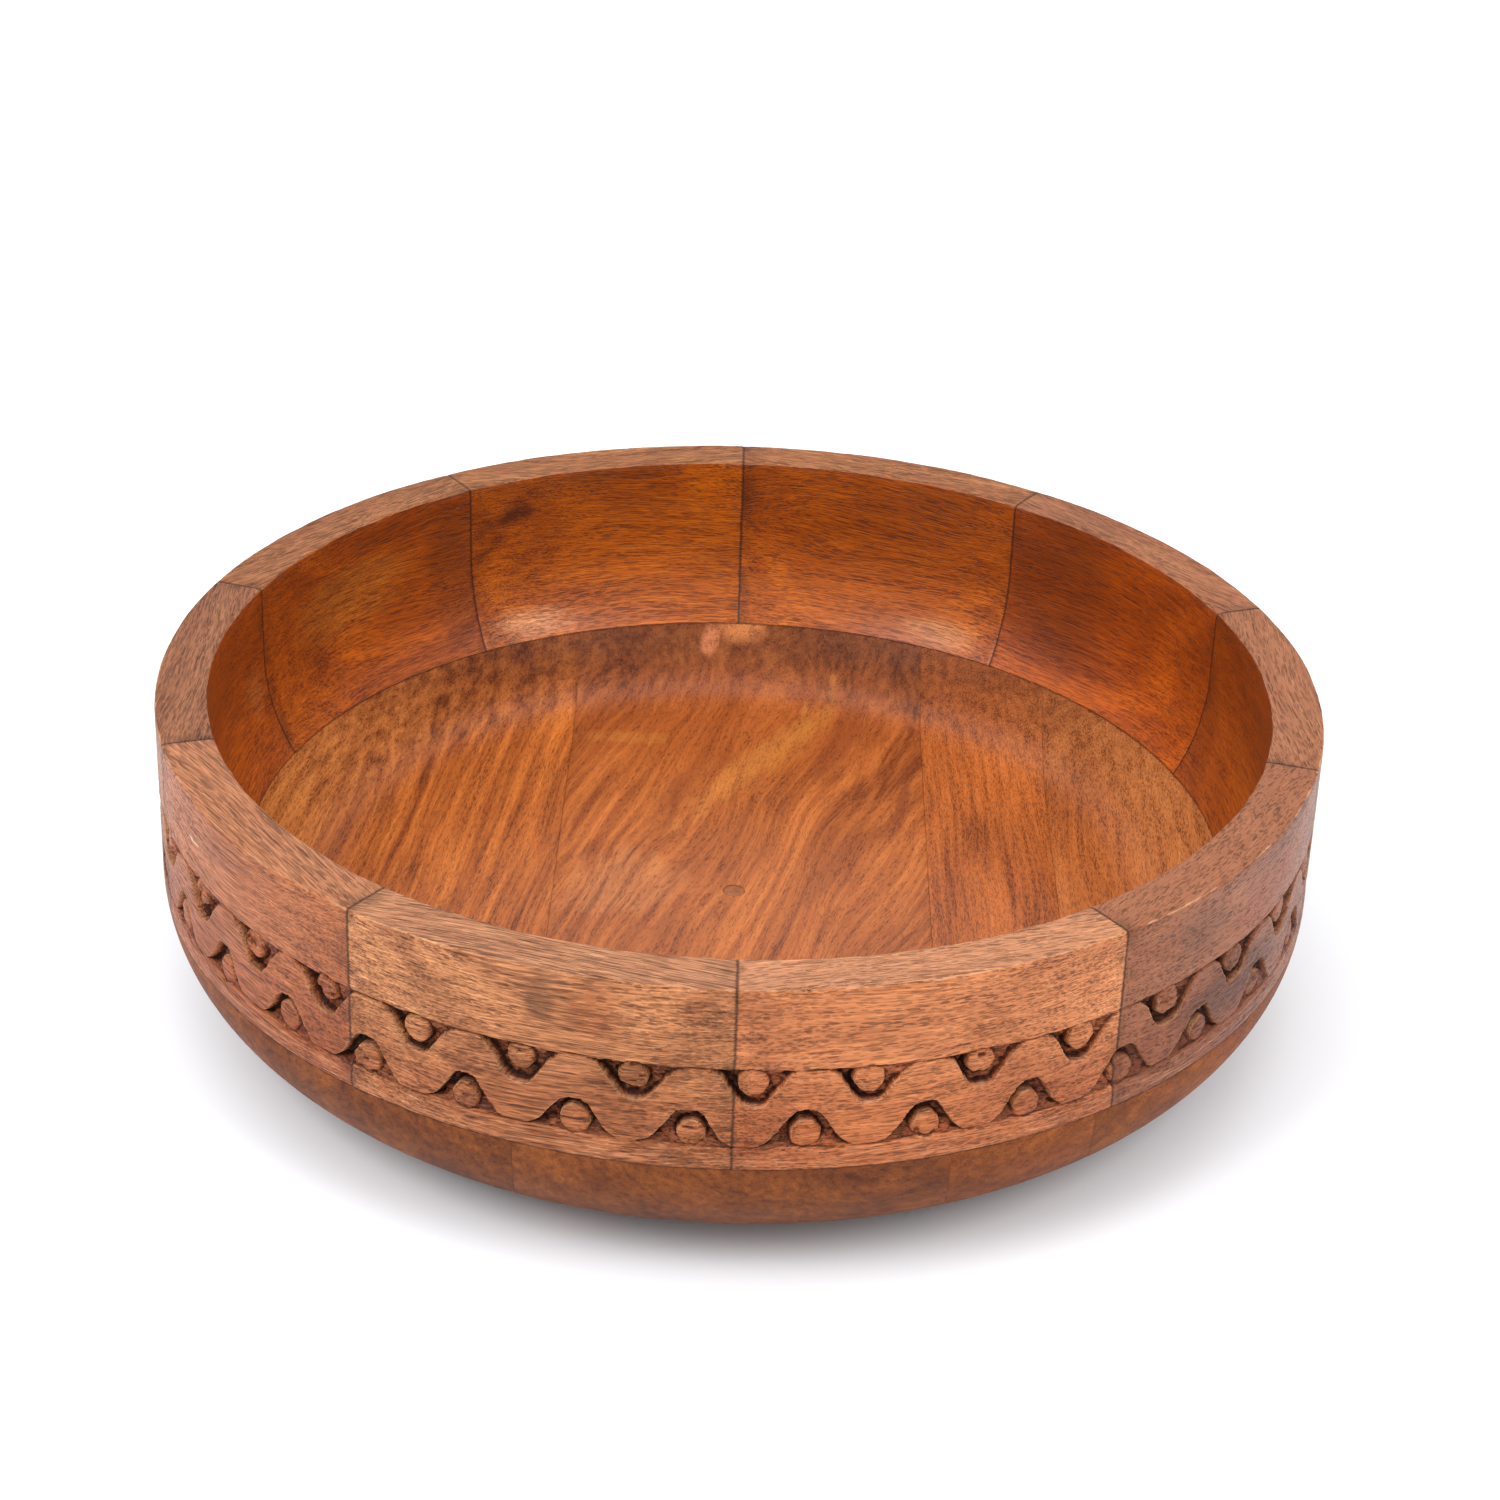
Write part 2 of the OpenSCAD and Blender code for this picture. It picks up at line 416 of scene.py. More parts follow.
def make_stave(node):
    """A carved stave of the rim, in place of its CAD node. Also its middle and half its span."""
    start, span = stave_span(node)
    coarse, fine, steps = stave_columns(start, span)
    rows, kind = stave_rows()
    normals = outward(rows)
    is_fine = kind == "fine"

    grid_angle, grid_z = np.meshgrid(fine, rows[is_fine, 1])
    depth, cut = carving(grid_angle, grid_z)
    # hollow and edge later give painted shade in the carving's hollows and valleys, and a painted
    # highlight on its crests
    hollow = depth - blurred(depth, HOLLOW_REACH / FINE_PITCH)
    edge = depth - blurred(depth, EDGE_REACH / FINE_PITCH)
    fine_data = iter(zip(depth, cut, hollow, edge))

    vertices, traits, numbers = [], [], []
    total = 0
    for i, ((r, z), normal) in enumerate(zip(rows, normals)):
        angle = fine if is_fine[i] else coarse
        inset = np.zeros(len(angle))
        trait = np.zeros((3, len(angle)))
        if is_fine[i]:
            inset, *trait = next(fine_data)
            inset = inset.copy()
        if kind[i] == "arris":
            inset = rim_wear(angle, i, r > INNER_R + WALL_T / 2)
        inset[[0, -1]] += EASED
        if i in (0, len(rows) - 1):
            inset += EASED_BASE
        row_r = r - inset * normal[0]
        row_z = np.maximum(z - inset * normal[1], GLUE_Z)
        turn = np.radians(angle)
        vertices.append(np.stack([row_r * np.cos(turn), row_r * np.sin(turn), row_z], 1))
        traits.append(np.array(trait))
        numbers.append(list(range(total, total + len(angle))))
        total += len(angle)

    faces = []
    for below, above in zip(numbers, numbers[1:]):
        stitch(faces, below, above, steps)
    glue_face = len(faces)
    stitch(faces, numbers[-1], numbers[0], steps)
    faces.append([row[0] for row in numbers][::-1])
    faces.append([row[-1] for row in numbers])
    attributes = dict(zip(("cut", "hollow", "edge"), np.concatenate(traits, axis=1)))
    flat_faces = range(glue_face, len(faces))
    stave = make_piece("carved_" + node, np.concatenate(vertices), faces, flat_faces, attributes)
    return stave, start + span / 2, span / 2


def base_profile():
    """The turned base as rows of (r, z), from the foot up, over the glue face and down to the plug."""
    outer_edge = outer_arc(OUTER_GLUE_DEG, OUTER_GLUE_DEG, 0) - [EASED_BASE, 0]
    cove_edge = cove_arc(COVE_GLUE_DEG, COVE_GLUE_DEG, 0) + [EASED_BASE, 0]
    outer = np.concatenate([outer_arc(-90, OUTER_GLUE_DEG - NEAR_GLUE_DEG, 26), outer_edge])
    cove = np.concatenate([cove_edge, cove_arc(COVE_GLUE_DEG - NEAR_GLUE_DEG, -90, 26)])
    floor_r = np.concatenate([np.linspace(FLOOR_R, PLUG_R + 0.1, 13)[1:], [PLUG_R]])
    floor = np.stack([floor_r, np.full_like(floor_r, FLOOR_Z)], 1)
    foot = np.stack([np.linspace(0, FOOT_R, 11)[1:-1], np.zeros(9)], 1)
    glue = np.stack([np.linspace(outer[-1, 0], cove[0, 0], 4)[1:-1], np.full(2, GLUE_Z)], 1)
    hole = np.array([[PLUG_R, PLUG_BOTTOM]])
    return np.concatenate([foot, outer, glue, cove, floor, hole])


def turned(rows, count):
    """A bmesh of the rows turned about Z, closed by a point at each end."""
    mesh = bmesh.new()
    turn = np.linspace(0, 2 * np.pi, count, endpoint=False)
    rings = [[mesh.verts.new((r * math.cos(t), r * math.sin(t), z)) for t in turn] for r, z in rows]
    ends = [mesh.verts.new((0, 0, rows[0][1])), mesh.verts.new((0, 0, rows[-1][1]))]
    for j in range(count):
        k = (j + 1) % count
        mesh.faces.new([ends[0], rings[0][k], rings[0][j]])
        mesh.faces.new([ends[1], rings[-1][j], rings[-1][k]])
        for below, above in zip(rings, rings[1:]):
            mesh.faces.new([below[j], below[k], above[k], above[j]])
    return mesh


def slice_off(mesh, x, keep):
    """Cuts the mesh at x and closes it with a soft edge. keep is 1 or -1, for the side that stays."""
    for at, clear in ((x + keep * EASED_SEAM_WIDTH, False), (x, True)):
        everything = mesh.verts[:] + mesh.edges[:] + mesh.faces[:]
        plane = {"plane_co": (at, 0, 0), "plane_no": (-keep, 0, 0)}
        bmesh.ops.bisect_plane(mesh, geom=everything, dist=1e-5, clear_outer=clear, **plane)
    mesh.normal_update()
    rim = [e for e in mesh.edges if e.is_boundary]
    for v in {v for e in rim for v in e.verts}:
        inset = v.normal - Vector((v.normal.x, 0, 0))
        if inset.length > 0.1:
            v.co -= inset.normalized() * EASED_BASE
    cap = bmesh.ops.edgeloop_fill(mesh, edges=rim)["faces"]
    bmesh.ops.triangulate(mesh, faces=cap, ngon_method="EAR_CLIP")


def finished(name, mesh):
    """The object made of a bmesh in millimetres."""
    bmesh.ops.scale(mesh, vec=(MM, MM, MM), verts=mesh.verts)
    data = bpy.data.meshes.new(name)
    mesh.to_mesh(data)
    mesh.free()
    piece = bpy.data.objects.new(name, data)
    bpy.context.scene.collection.objects.link(piece)
    return piece


def make_plank(node):
    """A plank of the turned base, in place of its CAD node."""
    low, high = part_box(node)
    mesh = turned(base_profile(), BASE_COLUMNS)
    if low.x / MM > -RIM_R + 1:
        slice_off(mesh, low.x / MM, 1)
    if high.x / MM < RIM_R - 1:
        slice_off(mesh, high.x / MM, -1)
    bmesh.ops.recalc_face_normals(mesh, faces=mesh.faces)
    for face in mesh.faces:
        flat_on_seam = abs(face.normal.x) > 0.999
        on_glue = face.normal.z > 0.999 and face.calc_center_median().z > GLUE_Z - 0.01
        face.smooth = not (flat_on_seam or on_glue)
    return finished("turned_" + node, mesh)


def make_plug():
    """The round plug in the floor, a little sunk and uneven on top."""
    sunk = 0.12
    rings = ((0.97, -0.1), (0.9, 0.0), (0.6, 0.03), (0.3, 0.05))
    rows = [(PLUG_R * 0.5, PLUG_BOTTOM), (PLUG_R * 0.97, PLUG_BOTTOM)]
    rows += [(PLUG_R * share, FLOOR_Z - sunk + lift) for share, lift in rings]
    mesh = turned(rows, PLUG_COLUMNS)
    for v in mesh.verts:
        if v.co.z > FLOOR_Z - 0.5:
            v.co.z += 0.05 * float(noise(np.array([v.co.x]), np.array([v.co.y]), 71)[0])
    plug = finished("filled_" + PLUG, mesh)
    plug.data.shade_smooth()
    return plug


# ---------------------------------------------------------------- materials


class Nodes:
    """A small helper that adds nodes to one material and joins them up."""

    def __init__(self, name):
        self.material = bpy.data.materials.new(name)
        self.material.use_nodes = True
        self.tree = self.material.node_tree
        self.tree.nodes.clear()

    def add(self, kind, inputs=None, output=0, **settings):
        node = self.tree.nodes.new(kind)
        for key, value in settings.items():
            setattr(node, key, value)
        for key, value in (inputs or {}).items():
            if isinstance(value, bpy.types.NodeSocket):
                self.tree.links.new(value, node.inputs[key])
            else:
                node.inputs[key].default_value = value
        return node.outputs[output] if node.outputs else None

    def math(self, operation, a, b=0.0, c=0.0):
        return self.add("ShaderNodeMath", {0: a, 1: b, 2: c}, operation=operation)

    def vector(self, operation, a, b=(0, 0, 0)):
        return self.add("ShaderNodeVectorMath", {0: a, 1: b}, operation=operation)

    def split(self, vector):
        """The three parts of a vector or a colour."""
        node = self.tree.nodes.new("ShaderNodeSeparateXYZ")
        self.tree.links.new(vector, node.inputs[0])
        return node.outputs[0], node.outputs[1], node.outputs[2]

    def scaled(self, vector, scale, offset=(0, 0, 0)):
        """The vector times scale, plus offset."""
        return self.add("ShaderNodeMapping", {"Vector": vector, "Scale": scale, "Location": offset})

    def noise(self, vector, detail=2.0, roughness=0.5, colour=False):
        inputs = {"Vector": vector, "Scale": 1.0, "Detail": detail, "Roughness": roughness}
        return self.add("ShaderNodeTexNoise", inputs, output=1 if colour else 0, normalize=True)

    def span(self, value, low, high, to_low=0.0, to_high=1.0):
        """Maps low..high to to_low..to_high in an S-curve and stops there."""
        inputs = {"Value": value, "From Min": low, "From Max": high, "To Min": to_low, "To Max": to_high}
        return self.add("ShaderNodeMapRange", inputs, interpolation_type="SMOOTHSTEP", clamp=True)

    def ramp(self, value, stops):
        node = self.tree.nodes.new("ShaderNodeValToRGB")
        self.tree.links.new(value, node.inputs[0])
        ramp = node.color_ramp
        while len(ramp.elements) < len(stops):
            ramp.elements.new(0.5)
        for element, (place, colour) in zip(ramp.elements, stops):
            element.position = place
            element.color = (*colour, 1)
        return node.outputs[0]

    def mix(self, factor, a, b, blend="MIX"):
        node = self.tree.nodes.new("ShaderNodeMix")
        node.data_type, node.blend_type = "RGBA", blend
        for socket, value in ((0, factor), (6, a), (7, b)):
            if isinstance(value, bpy.types.NodeSocket):
                self.tree.links.new(value, node.inputs[socket])
            else:
                node.inputs[socket].default_value = value if socket == 0 else (*value, 1)
        return node.outputs[2]


def linear(code):
    """A colour from its sRGB code, such as 9a5a33."""
    parts = [int(code[i : i + 2], 16) / 255 for i in (0, 2, 4)]
    return tuple(p / 12.92 if p <= 0.04045 else ((p + 0.055) / 1.055) ** 2.4 for p in parts)


# ---------------------------------------------------------------- wood

GRAIN_DARK = (0.030, 0.009, 0.004)
# Dark stain of the smudges by the joints, also used as painted shade deep in the carving's hollows
STAIN_AND_SHADE = (0.040, 0.012, 0.005)
# Pale wood of rubbed edges, also used as a painted highlight on the rim's edges and the carving's crests
WORN_AND_HIGHLIGHT = (0.62, 0.33, 0.18)
END_GRAIN = linear("5b4035")

# Shades that the wood's own colour is multiplied by: where the carving is cut, as painted shade in its
# small valleys, lower down the outer wall, and in clouds on the base.
IN_CUT = (0.6, 0.42, 0.33)
VALLEY_SHADE = (0.42, 0.3, 0.24)
LOWER_WALL_DARKER = (0.78, 0.66, 0.58)
CLOUDED = (0.7, 0.64, 0.56)

# How the tones of the grain and of its fine fibres differ from a piece's middle colour
TONES = (
    (0.0, (0.5, 0.42, 0.36)),
    (0.3, (0.84, 0.79, 0.75)),
    (0.6, (1.08, 1.08, 1.06)),
    (1.0, (1.45, 1.6, 1.6)),
)
FIBRE_TONES = (
    (0.26, (0.36, 0.26, 0.21)),
    (0.42, (0.86, 0.82, 0.78)),
    (0.58, (1.12, 1.14, 1.16)),
    (0.74, (1.5, 1.6, 1.7)),
)
# The oil that warms and darkens the inside of the staves, low and high on the wall, darker high up as
# painted shade
OILED_LOW = (0.94, 0.48, 0.06)
OILED_HIGH_SHADED = (0.66, 0.31, 0.008)
# The tone under the bowl, darker at the foot than at the glue line
UNDER_LOW = (0.41, 0.36, 0.24)
UNDER_HIGH = (0.76, 0.72, 0.46)
# The cove is darker where it cuts across the grain, and paler at the sides as a painted sheen
COVE_STAIN = (0.63, 0.62, 0.68)
COVE_SHEEN_ASIDE = (1.1, 1.35, 2.0)

# Height of the grain's relief in metres, and strength of the bare wood's reflection
STAVE_RELIEF = 0.0003
PLANK_RELIEF = 0.00012
STAVE_SPECULAR = 0.2
PLANK_SPECULAR = 0.06

# What a piece's wood is like unless WOODS says otherwise. rim is the colour of the rim's flat top,
# which is partly painted light, lighter at the front of the bowl and darker at the back, and inner and
# under are the brightness of the inside and of the underside.
LOOK = dict(
    contrast=1.0,
    lean=0.0,
    swirl=6.0,
    pith=(70, 60),
    pitch=6.0,
    bands=0.5,
    streaks=0.35,
    mottle=0.3,
    pores=0.9,
    pore_size=(0.3, 4.5),
    fibre=1.0,
    inner=1.0,
    rim="925c40",
    under=1.0,
    marks=(),
    polish=0.4,
)


def toned(stops, strength):
    """The tones, moved away from 1 by that strength."""
    return [(at, tuple(1 + strength * (part - 1) for part in shade)) for at, shade in stops]


class Timber:
    """The wood of one piece.

    x, y and z are millimetres in the piece's own frame: y runs along its grain, x towards the outside
    of the bowl on a stave, and z up.
    """

    def __init__(self, name, seed, middle=0.0, lean=0.0, swirl=6.0):
        n = self.n = Nodes(name)
        self.seed = seed
        turn = (0, 0, -math.radians(middle))
        coordinates = n.tree.nodes.new("ShaderNodeTexCoord")
        to_mm = (1 / MM, 1 / MM, 1 / MM)
        inputs = {"Vector": coordinates.outputs["Object"], "Scale": to_mm, "Rotation": turn}
        self.spot = n.add("ShaderNodeMapping", inputs)
        self.x, self.y, self.z = n.split(self.spot)
        squares = n.math("ADD", n.math("POWER", self.x, 2.0), n.math("POWER", self.y, 2.0))
        self.radius = n.math("SQRT", squares)
        inputs = {"Vector": coordinates.outputs["Normal"], "Rotation": turn}
        facing = n.add("ShaderNodeMapping", inputs, vector_type="NORMAL")
        self.out, self.end, self.up = n.split(facing)

        # The grain leans and swirls a little through the piece
        drift = n.noise(self.at((0.022, 0.009, 0.03)), detail=1.5, colour=True)
        drift = n.vector("SUBTRACT", drift, (0.5, 0.5, 0.5))
        drift = n.vector("MULTIPLY", drift, (swirl * 2, 0, swirl * 2))
        leaning = n.add("ShaderNodeCombineXYZ", {"X": n.math("MULTIPLY", self.y, -lean)})
        self.grain = n.vector("ADD", n.vector("ADD", self.spot, drift), leaning)
        streaks = n.noise(self.at((0.45, 0.012, 0.45), self.grain), 4.0, 0.6)
        self.flow = n.span(streaks, 0.3, 0.7)
        self.fibres = self.threads((2.3, 0.07, 2.3))

    def at(self, scale, source=None, seed=0):
        """Coordinates scaled for a noise, moved to a place in it that belongs to this piece."""
        seed += self.seed
        return self.n.scaled(source or self.spot, scale, (seed * 7.31, seed * 3.77, seed * 5.13))

    def cloud(self, size, seed, detail=3.0, roughness=0.5):
        """Noise with features of that size, the same in all directions."""
        return self.n.noise(self.at((1 / size, 1 / size, 1 / size), seed=seed), detail, roughness)

    def threads(self, scale):
        """Fine fibres along the grain, from 0 to 1, with some short ones among the long."""
        n = self.n
        long = n.noise(self.at(scale, self.grain, 5), 1.6, 0.6)
        short_scale = (scale[0] * 1.3, scale[1] * 3.5, scale[2] * 1.3)
        short = n.noise(self.at(short_scale, self.grain, 6), 1.0, 0.5)
        return n.math("MULTIPLY_ADD", long, 0.68, n.math("MULTIPLY", short, 0.32))

    def rings(self, pith, pitch):
        """Growth rings round a pith at (x, z), about pitch apart, from 0 to 1."""
        n = self.n
        from_pith = n.scaled(self.grain, (1, 0.04, 1), (-pith[0], 0, -pith[1]))
        length = n.add("ShaderNodeVectorMath", {0: from_pith}, output=1, operation="LENGTH")
        across = n.math("MULTIPLY_ADD", length, 1 / pitch, self.seed * 9.7)
        inputs = {"W": across, "Scale": 1.0, "Detail": 2.5}
        return n.span(n.add("ShaderNodeTexNoise", inputs, noise_dimensions="1D"), 0.3, 0.7)

    def pores(self, width, length, share, seed):
        """Open pores, width by length, in that share of the places where one could be."""
        n = self.n
        node = n.tree.nodes.new("ShaderNodeTexVoronoi")
        scale = (0.6 / width, 0.55 / length, 0.6 / width)
        n.tree.links.new(self.at(scale, self.grain, seed), node.inputs["Vector"])
        node.inputs["Scale"].default_value = 1.0
        filled = n.math("LESS_THAN", n.split(node.outputs["Color"])[0], share)
        return n.math("MULTIPLY", n.span(node.outputs["Distance"], 0.43, 0.27), filled)

    def blob(self, centre, size, turn=0.0, ragged=0.35):
        """An ellipsoid with a ragged edge, 1 inside and 0 outside. turn is about z."""
        n = self.n
        rotation = (0, 0, math.radians(turn))
        inputs = {"Vector": self.spot, "Location": centre, "Rotation": rotation, "Scale": size}
        inside = n.add("ShaderNodeMapping", inputs, vector_type="TEXTURE")
        length = n.add("ShaderNodeVectorMath", {0: inside}, output=1, operation="LENGTH")
        rough = n.noise(self.at((0.25, 0.06, 0.25), seed=3), 3.0)
        return n.span(n.math("MULTIPLY_ADD", rough, ragged * 2, length), 1.15 + ragged, 0.45 + ragged)


def shade(n, factor, colour, by):
    """The colour multiplied by another, as far as the factor says."""
    return n.mix(factor, colour, n.mix(1.0, colour, by, "MULTIPLY"))


def grain_colour(t, look):
    """Growth rings, streaks and cloudy patches in the tones of the piece."""
    n = t.n
    patches = n.span(n.noise(t.at((0.03, 0.014, 0.035), seed=11), 2.0), 0.3, 0.7)
    tone = n.math("MULTIPLY", t.flow, look.streaks)
    tone = n.math("MULTIPLY_ADD", t.rings(look.pith, look.pitch), look.bands, tone)
    tone = n.math("MULTIPLY_ADD", patches, look.mottle, tone)
    tone = n.math("DIVIDE", tone, look.bands + look.streaks + look.mottle)
    return n.mix(1.0, n.ramp(tone, toned(TONES, look.contrast)), linear(look.tint), "MULTIPLY")


def marked(t, colour, marks):
    """The colour with the piece's knots, flames and spots and a few painted sheens and highlights,
    streaked along the grain.
    """
    n = t.n
    streaky = n.span(t.flow, 0, 0.6, 0.55, 1)
    for mark_colour, strength, shape in marks:
        factor = n.math("MULTIPLY", n.math("MULTIPLY", t.blob(**shape), strength), streaky)
        colour = n.mix(factor, colour, linear(mark_colour))
    return colour


def fibred(t, colour, strength):
    return t.n.mix(1.0, colour, t.n.ramp(t.fibres, toned(FIBRE_TONES, strength)), "MULTIPLY")


def pored(t, look, colour):
    """Open pores, more of them in some streaks than in others. Returns the colour and the pores."""
    n = t.n
    width, length = look.pore_size
    fine = n.math("MULTIPLY", t.pores(width * 0.8, length * 0.5, look.pores, 31), 0.75)
    pores = n.math("MAXIMUM", t.pores(width, length, look.pores, 21), fine)
    pores = n.math("MULTIPLY", pores, n.span(t.flow, 0.0, 0.7, 1.0, 0.55))
    return n.mix(n.math("MULTIPLY", pores, 0.8), colour, n.mix(0.75, colour, GRAIN_DARK)), pores


def dirty_and_shaded_cuts(t, colour):
    """Dirt, painted shade and highlights in the carving. Returns the colour and the dirt and shade."""
    n = t.n
    cut = n.add("ShaderNodeAttribute", output=2, attribute_name="cut")
    hollow = n.add("ShaderNodeAttribute", output=2, attribute_name="hollow")
    edge = n.add("ShaderNodeAttribute", output=2, attribute_name="edge")
    patch_noise = n.noise(t.at((0.5, 0.35, 0.5), seed=41), 3.0, 0.65)
    # Painted shade deep in the carving's hollows, made patchy by a noise; the rest is dirt left in the
    # cuts
    deep = n.span(n.math("MULTIPLY_ADD", patch_noise, 0.9, hollow), 0.6, 1.45)
    dirt_and_shade = n.math("MAXIMUM", deep, n.math("MULTIPLY", cut, n.span(patch_noise, 0.35, 0.65, 0.5, 0.0)))
    colour = shade(n, n.math("MULTIPLY", cut, 0.75), colour, IN_CUT)
    colour = n.mix(n.math("MULTIPLY", dirt_and_shade, 0.9), colour, STAIN_AND_SHADE)
    # Painted shade in the carving's small valleys and torn furrows
    colour = shade(n, n.math("MULTIPLY", n.span(edge, 0.02, 0.14), 0.85), colour, VALLEY_SHADE)
    # A painted highlight, with pale wear, on the crests beside the carving
    crest = n.span(n.math("MULTIPLY_ADD", patch_noise, -0.5, n.math("MULTIPLY", edge, -1.0)), 0.0, 0.4)
    return n.mix(n.math("MULTIPLY", crest, 0.3), colour, WORN_AND_HIGHLIGHT), dirt_and_shade


def worn_and_highlit_edges(t, colour, outer_wall):
    """The torn strip under the carving is rubbed pale, and the rim's edges too, with a painted
    highlight.
    """
    n = t.n
    below_rim = n.math("SUBTRACT", RIM_Z, t.z)
    ragged = n.noise(t.at((0.6, 0.1, 0.6), seed=43), 4.0, 0.7)
    outer = n.math("MAXIMUM", n.math("SUBTRACT", RIM_R, t.radius), below_rim)
    inner = n.math("MAXIMUM", n.math("SUBTRACT", t.radius, INNER_R), below_rim)
    arris = n.span(n.math("MULTIPLY_ADD", ragged, 3.6, n.math("MULTIPLY", outer, 1.7)), 2.5, 1.9)
    lip = n.span(n.math("MULTIPLY_ADD", ragged, 2.4, n.math("MULTIPLY", inner, 2.0)), 2.0, 1.4)
    below_border = n.span(t.z, BORDER_LOW_Z, BORDER_LOW_Z - 1.5)
    strip = n.math("MULTIPLY", below_border, n.span(t.fibres, 0.48, 0.7))
    strip = n.math("MULTIPLY", strip, outer_wall)
    # worn is the rubbed rim edges with their painted highlight
    worn = n.math("MAXIMUM", n.math("MULTIPLY", arris, 0.6), n.math("MULTIPLY", lip, 0.4))
    return n.mix(n.math("MAXIMUM", worn, n.math("MULTIPLY", strip, 0.35)), colour, WORN_AND_HIGHLIGHT)


def glued(t, colour, to_joint, line_strength, smudge_strength):
    """Dark glue lines where the piece meets its neighbours, with smudges beside them."""
    n = t.n
    wavering = t.cloud(1.25, 45, 2.0)
    line = n.span(n.math("MULTIPLY_ADD", wavering, 0.6, to_joint), 0.95, 0.35)
    to_glue = n.math("ABSOLUTE", n.math("SUBTRACT", t.z, GLUE_Z))
    glue = n.span(n.math("MULTIPLY_ADD", wavering, 0.7, to_glue), 0.75, 0.35)
    smudge = n.math("MULTIPLY", n.span(to_joint, 6.0, 0.0), n.span(t.cloud(7.0, 47, 2.0), 0.42, 0.7))
    colour = n.mix(n.math("MULTIPLY", smudge, smudge_strength), colour, STAIN_AND_SHADE)
    colour = n.mix(n.math("MULTIPLY", line, line_strength), colour, GRAIN_DARK)
    return n.mix(n.math("MULTIPLY", glue, 0.6), colour, GRAIN_DARK)


def finish_wood(t, look, colour, dull, relief, depth, oiled, specular):
    """The shader: matt wood with relief of that depth, and a coat where it is oiled."""
    n = t.n
    patches = n.noise(t.at((0.05, 0.03, 0.05), seed=51), 3.0)
    rough = n.math("MULTIPLY_ADD", patches, 0.16, look.polish - 0.08)
    rough = n.math("MULTIPLY_ADD", dull, 0.16, rough)
    bump = n.add("ShaderNodeBump", {"Strength": 1.0, "Distance": depth, "Height": relief})
    inputs = {"Base Color": colour, "Roughness": rough, "Normal": bump, "Coat Weight": oiled}
    inputs.update({"Specular IOR Level": specular, "Coat Roughness": 0.32})
    n.add("ShaderNodeOutputMaterial", {"Surface": n.add("ShaderNodeBsdfPrincipled", inputs)})
    return n.material


def stave_wood(name, seed, look, middle, half_span):
    """The wood of a stave: tan outside, sanded on the rim, and oiled dark inside, with painted shade
    high up.
    """
    look = SimpleNamespace(**{**LOOK, **look})
    t = Timber(name, seed, middle, look.lean, look.swirl)
    n = t.n
    inside = n.span(n.math("MULTIPLY", t.out, -1.0), 0.2, 0.8)
    outer_wall = n.span(t.out, 0.5, 0.8)
    rim = n.span(t.up, 0.55, 0.95)
    walls, top = t.threads((0.5, 0.07, 2.3)), t.threads((2.3, 0.07, 0.5))
    t.fibres = n.math("MULTIPLY_ADD", rim, n.math("SUBTRACT", top, walls), walls)
    colour = grain_colour(t, look)
    # Oil inside, darker towards the rim as painted shade
    oil_and_shade = n.mix(n.span(t.z, 40, 76), OILED_LOW, OILED_HIGH_SHADED)
    oil_and_shade = n.mix(1.0, oil_and_shade, (look.inner, look.inner, look.inner), "MULTIPLY")
    colour = marked(t, shade(n, inside, colour, oil_and_shade), look.marks)
    # The outer wall grows darker from just above the carving downwards
    lower_wall = n.math("MULTIPLY", outer_wall, n.span(t.z, BORDER_TOP_Z + 4, BORDER_LOW_Z + 4))
    colour = shade(n, lower_wall, colour, LOWER_WALL_DARKER)
    # The rim's top, in a colour per stave that is partly painted light, lighter towards the front
    colour = n.mix(n.math("MULTIPLY", rim, 0.7), colour, linear(look.rim))
    colour = fibred(t, colour, look.fibre)
    colour, pores = pored(t, look, colour)
    colour, dirt_and_shade = dirty_and_shaded_cuts(t, colour)
    colour = worn_and_highlit_edges(t, colour, outer_wall)
    turned_from_middle = n.math("ABSOLUTE", n.math("ARCTAN2", t.y, t.x))
    turn_to_joint = n.math("SUBTRACT", math.radians(half_span), turned_from_middle)
    to_joint = n.math("MULTIPLY", turn_to_joint, t.radius)
    colour = glued(t, colour, to_joint, 0.72, 0.45)
    relief = n.math("MULTIPLY_ADD", pores, -1.0, n.math("MULTIPLY", t.fibres, 2.0 * look.fibre))
    relief = n.math("MULTIPLY", relief, n.span(inside, 0, 1, 1, 0.4))
    dull = n.math("MAXIMUM", n.math("MAXIMUM", pores, dirt_and_shade), rim)
    oiled = n.math("MULTIPLY", inside, 0.4)
    return finish_wood(t, look, colour, dull, relief, STAVE_RELIEF, oiled, STAVE_SPECULAR)


